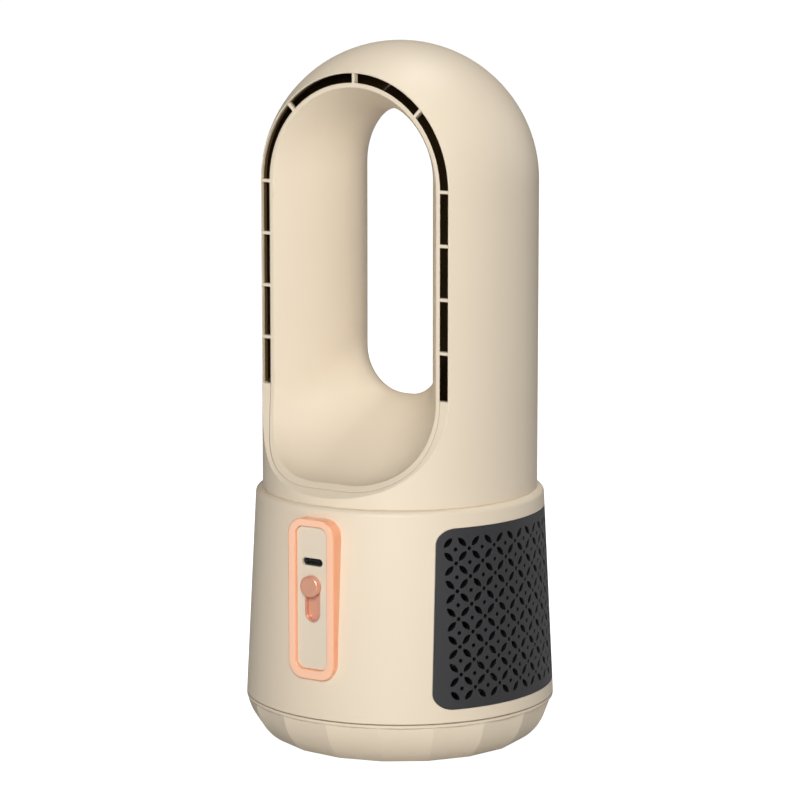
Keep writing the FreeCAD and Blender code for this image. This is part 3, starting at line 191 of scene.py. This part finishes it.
def make_moulded_skin():
    """Colour drift, uneven gloss and fine spark-eroded grain of a moulded surface."""
    group, given, put_out = new_group(
        "moulded_skin",
        [("Colour", "NodeSocketColor", linear(BEIGE)),
         ("Shade", "NodeSocketColor", linear(BEIGE_SHADE)),
         ("Drift", "NodeSocketFloat", COLOUR_DRIFT),
         ("Gloss low", "NodeSocketFloat", SHELL_GLOSS[0]),
         ("Gloss high", "NodeSocketFloat", SHELL_GLOSS[1])],
        [("Colour", "NodeSocketColor"), ("Roughness", "NodeSocketFloat"), ("Grain", "NodeSocketFloat")])
    nodes, links = group.nodes, group.links
    place = nodes.new("ShaderNodeTexCoord").outputs["Object"]
    broad = noise(nodes, links, place, DRIFT_NOISE)
    mix = nodes.new("ShaderNodeMix")
    mix.data_type = "RGBA"
    links.new(math_node(nodes, links, "MULTIPLY", broad, given.outputs["Drift"]), mix.inputs["Factor"])
    links.new(given.outputs["Colour"], mix.inputs["A"])
    links.new(given.outputs["Shade"], mix.inputs["B"])
    smudge = noise(nodes, links, place, SMUDGE_NOISE)
    gloss = remap(nodes, links, smudge, given.outputs["Gloss low"], given.outputs["Gloss high"])
    links.new(mix.outputs["Result"], put_out.inputs["Colour"])
    links.new(gloss, put_out.inputs["Roughness"])
    links.new(noise(nodes, links, place, GRAIN_NOISE), put_out.inputs["Grain"])
    return group


MOULDED_SKIN = make_moulded_skin()


def new_material(name):
    material = bpy.data.materials.new(name)
    material.use_nodes = True
    return material, material.node_tree.nodes, material.node_tree.links


def moulded(name, colour, shade, gloss, bump=GRAIN_BUMP, metallic=0.0, coat=0.0, edge=FINE_EDGE):
    """A moulded or lacquered finish from the shared skin group, with edges softened by a small radius."""
    material, nodes, links = new_material(name)
    shader = nodes["Principled BSDF"]
    skin = nodes.new("ShaderNodeGroup")
    skin.node_tree = MOULDED_SKIN
    skin.inputs["Colour"].default_value = linear(colour)
    skin.inputs["Shade"].default_value = linear(shade)
    skin.inputs["Drift"].default_value = COLOUR_DRIFT
    skin.inputs["Gloss low"].default_value, skin.inputs["Gloss high"].default_value = gloss
    soft_edge = nodes.new("ShaderNodeBevel")
    soft_edge.samples = EDGE_SAMPLES
    soft_edge.inputs["Radius"].default_value = edge
    raised = nodes.new("ShaderNodeBump")
    raised.inputs["Strength"].default_value = bump
    raised.inputs["Distance"].default_value = GRAIN_DEPTH
    links.new(soft_edge.outputs["Normal"], raised.inputs["Normal"])
    links.new(skin.outputs["Grain"], raised.inputs["Height"])
    links.new(skin.outputs["Colour"], shader.inputs["Base Color"])
    links.new(skin.outputs["Roughness"], shader.inputs["Roughness"])
    links.new(raised.outputs["Normal"], shader.inputs["Normal"])
    shader.inputs["Metallic"].default_value = metallic
    shader.inputs["Coat Weight"].default_value = coat
    return material


def shell_plastic(name):
    """The beige plastic of the head, the duct, the base and the foot."""
    return moulded(name, BEIGE, BEIGE_SHADE, SHELL_GLOSS, edge=SHELL_EDGE)


# Masks for a second colour: painted shade and painted light
def new_mask(name, coordinate):
    """A group that gives a mask from one of the texture coordinates, with its x, y and z."""
    group, _, put_out = new_group(name, [], [("Mask", "NodeSocketFloat")])
    split = group.nodes.new("ShaderNodeSeparateXYZ")
    source = group.nodes.new("ShaderNodeTexCoord").outputs[coordinate]
    group.links.new(source, split.inputs["Vector"])
    return group, put_out.inputs["Mask"], split.outputs


def vector_length(nodes, links, x, y, z):
    """The length of a vector from its parts, each a number or a socket."""
    vector = nodes.new("ShaderNodeCombineXYZ")
    for socket, value in zip(vector.inputs, (x, y, z)):
        feed(links, socket, value)
    length = nodes.new("ShaderNodeVectorMath")
    length.operation = "LENGTH"
    links.new(vector.outputs["Vector"], length.inputs[0])
    return length.outputs["Value"]


def deep_inside(nodes, links, y):
    """1 between the front and the rear rim of the loop, and 0 on the rims and beyond them."""
    behind_front = math_node(nodes, links, "GREATER_THAN", y, PAINTED_SHADE_FRONT_Y)
    before_rear = math_node(nodes, links, "LESS_THAN", y, PAINTED_SHADE_REAR_Y)
    return math_node(nodes, links, "MULTIPLY", behind_front, before_rear)


def make_inner_wall_painted_shade():
    """Painted shade: 1 on the head's inner wall, which shows only through the nozzle slots, and 0 on its
    skin and rims.
    """
    group, mask, (x, y, z) = new_mask("inner_wall_painted_shade", "Object")
    nodes, links = group.nodes, group.links
    above = math_node(nodes, links, "MAXIMUM", math_node(nodes, links, "SUBTRACT", z, DOME_Z), 0.0)
    reach = vector_length(nodes, links, x, y, above)
    within = math_node(nodes, links, "LESS_THAN", reach, INNER_WALL_RADIUS)
    over_chin = math_node(nodes, links, "GREATER_THAN", z, SLOT_END_Z)
    inside = math_node(nodes, links, "MULTIPLY", within, over_chin)
    links.new(math_node(nodes, links, "MULTIPLY", inside, deep_inside(nodes, links, y)), mask)
    return group


def make_hole_wall_painted_shade():
    """Painted shade: 1 in the grille's holes and on its back, and 0 on its face, which lies on the cone of
    the base.
    """
    group, mask, (x, y, z) = new_mask("hole_wall_painted_shade", "Object")
    nodes, links = group.nodes, group.links
    slope = (BASE_BOTTOM_RADIUS - BASE_TOP_RADIUS) / (BASE_TOP_Z - BASE_BOTTOM_Z)
    drop = math_node(nodes, links, "MULTIPLY", math_node(nodes, links, "SUBTRACT", z, BASE_BOTTOM_Z), slope)
    skin = math_node(nodes, links, "SUBTRACT", BASE_BOTTOM_RADIUS - GRILLE_SKIN, drop)
    reach = vector_length(nodes, links, x, y, 0.0)
    links.new(math_node(nodes, links, "LESS_THAN", reach, skin), mask)
    return group


def make_duct_back_painted_shade():
    """Painted shade: 1 on the side of the air duct that faces the inside of the head, and 0 in the loop and
    on its rims.
    """
    group, mask, (x, y, z) = new_mask("duct_back_painted_shade", "Object")
    nodes, links = group.nodes, group.links
    outward = nodes.new("ShaderNodeCombineXYZ")
    links.new(x, outward.inputs["X"])
    links.new(math_node(nodes, links, "SUBTRACT", z, LOOP_MIDDLE_Z), outward.inputs["Z"])
    lean = nodes.new("ShaderNodeVectorMath")
    lean.operation = "DOT_PRODUCT"
    links.new(outward.outputs["Vector"], lean.inputs[0])
    links.new(nodes.new("ShaderNodeTexCoord").outputs["Normal"], lean.inputs[1])
    turned_out = math_node(nodes, links, "GREATER_THAN", lean.outputs["Value"], DUCT_BACK_LEAN)
    links.new(math_node(nodes, links, "MULTIPLY", turned_out, deep_inside(nodes, links, y)), mask)
    return group


def make_front_face_painted_light():
    """Painted light: 1 on faces that look straight ahead, and 0 on the sides."""
    group, mask, (_, y, _) = new_mask("front_face_painted_light", "Normal")
    group.links.new(math_node(group.nodes, group.links, "LESS_THAN", y, FRONT_FACING), mask)
    return group


def two_tone(material, mask, colour):
    """Give a finish a second colour where a mask is 1: painted shade or painted light."""
    nodes, links = material.node_tree.nodes, material.node_tree.links
    base = nodes["Principled BSDF"].inputs["Base Color"]
    where = nodes.new("ShaderNodeGroup")
    where.node_tree = mask
    mix = nodes.new("ShaderNodeMix")
    mix.data_type = "RGBA"
    links.new(where.outputs["Mask"], mix.inputs["Factor"])
    links.new(base.links[0].from_socket, mix.inputs["A"])
    mix.inputs["B"].default_value = linear(colour)
    links.new(mix.outputs["Result"], base)
    return material


# Finishes by the record's material slots, and those of the pieces with painted shade inside
FINISHES = {
    "beige_shell": shell_plastic("beige_shell_plastic"),
    # Painted shade in the grille's holes and on its back
    "grille_grey": two_tone(
        moulded("charcoal_grille_plastic_with_painted_shade", CHARCOAL, CHARCOAL_SHADE, (0.52, 0.62), bump=0.08),
        make_hole_wall_painted_shade(), HOLE_PAINTED_SHADE_BLACK),
    # Painted light: the bezel's face that looks straight ahead is paler
    "bezel_peach": two_tone(
        moulded("peach_bezel_lacquer_with_painted_light", PEACH, PEACH_SHADE, (0.2, 0.26), coat=0.6),
        make_front_face_painted_light(), PEACH_PAINTED_LIGHT),
    "plate_cream": moulded("cream_plate_plastic", PLATE_CREAM, BEIGE_SHADE, (0.46, 0.54)),
    "knob_pink": moulded("copper_pink_lacquer", COPPER_PINK, COPPER_SHADE, (0.3, 0.38), metallic=0.35),
    "inner_plastic": moulded("black_inner_plastic", BLACK_PLASTIC, CHARCOAL_SHADE, (0.5, 0.6)),
    "lever_white": moulded("natural_plastic", NATURAL_PLASTIC, BEIGE, (0.45, 0.55)),
    "black_rubber": moulded("black_rubber_pad", BLACK_RUBBER, BLACK_PLASTIC, (0.7, 0.82), bump=0.15),
    "steel": moulded("bare_steel", BARE_METAL, DARK_STEEL, (0.28, 0.42), metallic=1.0),
    "circuit_board": moulded("green_board_lacquer", BOARD_GREEN, BLACK_PLASTIC, (0.3, 0.4), coat=0.4),
    "board_parts": moulded("dark_board_parts", BLACK_PLASTIC, DARK_STEEL, (0.35, 0.5)),
    "copper_winding": moulded("copper_winding_wire", COPPER_WIRE, COPPER_SHADE, (0.3, 0.4), metallic=1.0),
    "magnet": moulded("sintered_magnet", DARK_STEEL, BLACK_PLASTIC, (0.5, 0.6), metallic=0.6),
    "heater_metal": moulded("heater_sheet_metal", BARE_METAL, DARK_STEEL, (0.3, 0.45), metallic=1.0),
    "cutoff_case": moulded("cutoff_metal_case", BARE_METAL, DARK_STEEL, (0.25, 0.35), metallic=1.0),
    "cable_jacket": moulded("black_cable_jacket", BLACK_RUBBER, BLACK_PLASTIC, (0.5, 0.6)),
}
# Painted shade on the head's inner wall and on the back of the duct
PAINTED_SHADE_INSIDE = {
    "head_shell": two_tone(shell_plastic("beige_head_plastic_with_painted_shade"), make_inner_wall_painted_shade(), PAINTED_SHADE_BROWN),
    "air_duct": two_tone(shell_plastic("beige_duct_plastic_with_painted_shade"), make_duct_back_painted_shade(), PAINTED_SHADE_BROWN),
}


def finish_nodes():
    """Give every carried-over node the finish of its slot, or its own where painted shade darkens its
    inside.
    """
    for entry in frame["record"]["subparts"]:
        piece = NODES[entry["node"]]
        piece.data.materials.clear()
        piece.data.materials.append(PAINTED_SHADE_INSIDE.get(entry["node"], FINISHES[entry["material_slot"]]))


# Meshes
def smooth_piece(name, verts, faces, finish, body, node):
    """A finished mesh that stands for a node and moves with a body."""
    mesh = bpy.data.meshes.new(name)
    mesh.from_pydata([tuple(v) for v in verts], [], faces)
    turned = bmesh.new()
    turned.from_mesh(mesh)
    bmesh.ops.recalc_face_normals(turned, faces=turned.faces)
    turned.to_mesh(mesh)
    turned.free()
    mesh.polygons.foreach_set("use_smooth", [True] * len(mesh.polygons))
    mesh.set_sharp_from_angle(angle=SHARP_ANGLE)
    mesh.materials.append(FINISHES[finish])
    piece = bpy.data.objects.new(name, mesh)
    bpy.context.scene.collection.objects.link(piece)
    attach(piece, body)
    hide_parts(node)
    return piece


def lofted(rings, closed):
    """Points and four-sided faces through rings of equal length; a closed loft joins its two ends."""
    count = len(rings[0])
    verts = [point for ring in rings for point in ring]
    faces = []
    for i in range(len(rings) if closed else len(rings) - 1):
        here, there = i * count, (i + 1) % len(rings) * count
        for k in range(count):
            after = (k + 1) % count
            faces.append((here + k, here + after, there + after, there + k))
    return verts, faces


def rounded_outline(half, low, high, corner):
    """An upright rounded rectangle as (x, z), anticlockwise from its lower right corner."""
    centres = [(half - corner, low + corner, -90), (half - corner, high - corner, 0),
               (corner - half, high - corner, 90), (corner - half, low + corner, 180)]
    points = []
    for x, z, start in centres:
        for k in range(CORNER_STEPS + 1):
            angle = math.radians(start + 90 * k / CORNER_STEPS)
            points.append((x + corner * math.cos(angle), z + corner * math.sin(angle)))
    return points


def quarter_round(radius):
    """Steps along a rounded edge as (inset, drop), from the side wall to the face."""
    turns = [math.pi / 2 * k / EDGE_STEPS for k in range(EDGE_STEPS + 1)]
    return [(radius * (1 - math.cos(a)), radius * (1 - math.sin(a))) for a in turns]


def base_front(x, z):
    """The y of the base cone's front at a place."""
    share = (z - BASE_BOTTOM_Z) / (BASE_TOP_Z - BASE_BOTTOM_Z)
    radius = BASE_BOTTOM_RADIUS + (BASE_TOP_RADIUS - BASE_BOTTOM_RADIUS) * share
    return -math.sqrt(radius ** 2 - x ** 2)


def add_bezel():
    """Peach frame round the panel, with rolled edges, seated on the cone of the base."""
    low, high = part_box("control_bezel")
    plate_low, plate_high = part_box("control_plate")
    outer = rounded_outline(high.x, low.z, high.z, BEZEL_CORNER)
    inner = rounded_outline(plate_high.x + PLATE_FIT, plate_low.z - PLATE_FIT,
                            plate_high.z + PLATE_FIT, PLATE_CORNER)
    width = high.x - plate_high.x
    front = low.y

    def ring(inset, depth):
        share = inset / width
        return [Vector((a[0] + (b[0] - a[0]) * share, front + depth, a[1] + (b[1] - a[1]) * share))
                for a, b in zip(outer, inner)]

    seat = [Vector((x, base_front(x, z) + BEZEL_SINK, z)) for x, z in outer]
    rings = [seat]
    rings += [ring(inset, drop) for inset, drop in quarter_round(BEZEL_EDGE)]
    rings += [ring(width - inset, drop) for inset, drop in reversed(quarter_round(BEZEL_INNER_EDGE))]
    back = plate_high.y - front
    rings.append(ring(width, min(back, BEZEL_DEPTH)))
    rings.append([Vector((p.x, max(p.y, q.y), p.z)) for p, q in zip(rings[-1], seat)])
    verts, faces = lofted(rings, True)
    smooth_piece("panel_bezel", verts, faces, "bezel_peach", "housing", "control_bezel")


def add_knob():
    """Round slider knob with a rolled edge and a faintly dished face, on its stem."""
    low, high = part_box("slide_knob")
    centre_z = (low.z + high.z) / 2
    radius = high.x
    profile = [(0.0, low.y + KNOB_DISH),
               (radius * DISH_MIDDLE_RADIUS, low.y + KNOB_DISH * DISH_MIDDLE_DEPTH)]
    profile += [(radius - inset, low.y + drop) for inset, drop in reversed(quarter_round(KNOB_EDGE))]
    profile += [(radius, low.y + KNOB_THICKNESS), (KNOB_STEM, low.y + KNOB_THICKNESS), (KNOB_STEM, high.y),
                (0.0, high.y)]
    turns = [math.tau * k / KNOB_SIDES for k in range(KNOB_SIDES)]
    rings = [[Vector((r * math.cos(a), y, centre_z + r * math.sin(a))) for a in turns]
             for r, y in profile[1:-1]]
    verts, faces = lofted(rings, False)
    for start, tip in ((0, profile[0]), ((len(rings) - 1) * KNOB_SIDES, profile[-1])):
        verts.append(Vector((0.0, tip[1], centre_z)))
        faces += [(start + k, start + (k + 1) % KNOB_SIDES, len(verts) - 1) for k in range(KNOB_SIDES)]
    smooth_piece("slider_knob", verts, faces, "knob_pink", "slider", "slide_knob")


# Camera and studio
def floor_paint():
    """Pale grey paint that the camera sees lit from below as well, as on a light table."""
    paint = moulded("studio_floor_paint", FLOOR_GREY, FLOOR_GREY, (0.8, 0.9))
    nodes, links = paint.node_tree.nodes, paint.node_tree.links
    shader = nodes["Principled BSDF"]
    shader.inputs["Emission Color"].default_value = WHITE_LIGHT
    seen = nodes.new("ShaderNodeLightPath").outputs["Is Camera Ray"]
    links.new(math_node(nodes, links, "MULTIPLY", seen, FLOOR_GLOW), shader.inputs["Emission Strength"])
    return paint


def studio_surround():
    """Even white surroundings: weak as a light, full white as a backdrop."""
    world = bpy.data.worlds.new("studio_surround")
    world.use_nodes = True
    nodes, links = world.node_tree.nodes, world.node_tree.links
    background = nodes["Background"]
    background.inputs["Color"].default_value = WHITE_LIGHT
    seen = nodes.new("ShaderNodeLightPath").outputs["Is Camera Ray"]
    links.new(remap(nodes, links, seen, SURROUND_STRENGTH, 1.0), background.inputs["Strength"])
    return world


def aim(thing, place, target):
    thing.location = place
    thing.rotation_euler = (target - place).to_track_quat("-Z", "Y").to_euler()


def add_camera():
    camera = bpy.data.objects.new("photo_camera", bpy.data.cameras.new("photo_camera"))
    camera.data.lens = CAMERA_LENS
    camera.data.sensor_width = CAMERA_SENSOR
    bpy.context.scene.collection.objects.link(camera)
    aim(camera, CAMERA_PLACE, CAMERA_AIM)
    bpy.context.scene.camera = camera


def add_light(name, place, target, power, size):
    lamp = bpy.data.lights.new(name, "AREA")
    lamp.energy = power
    lamp.shape = "RECTANGLE"
    lamp.size, lamp.size_y = size
    light = bpy.data.objects.new(name, lamp)
    bpy.context.scene.collection.objects.link(light)
    aim(light, place, target)


def add_studio():
    """Pale floor, white surroundings, soft boxes over the camera and above, and weak ones at the sides."""
    mesh = bpy.data.meshes.new("studio_floor")
    half = FLOOR_HALF
    corners = [(-half, -half, 0), (half, -half, 0), (half, half, 0), (-half, half, 0)]
    mesh.from_pydata(corners, [], [(0, 1, 2, 3)])
    floor = bpy.data.objects.new("studio_floor", mesh)
    bpy.context.scene.collection.objects.link(floor)
    mesh.materials.append(floor_paint())
    bpy.context.scene.world = studio_surround()
    for name, azimuth, elevation, power, size in SOFT_BOXES:
        across, up = math.radians(azimuth), math.radians(elevation)
        flat, rise = SOFT_BOX_DISTANCE * math.cos(up), SOFT_BOX_DISTANCE * math.sin(up)
        offset = Vector((flat * math.sin(across), -flat * math.cos(across), rise))
        add_light(name, CAMERA_AIM + offset, CAMERA_AIM, power, size)
    bpy.context.scene.view_settings.view_transform = "Standard"


finish_nodes()
add_bezel()
add_knob()
add_camera()
add_studio()
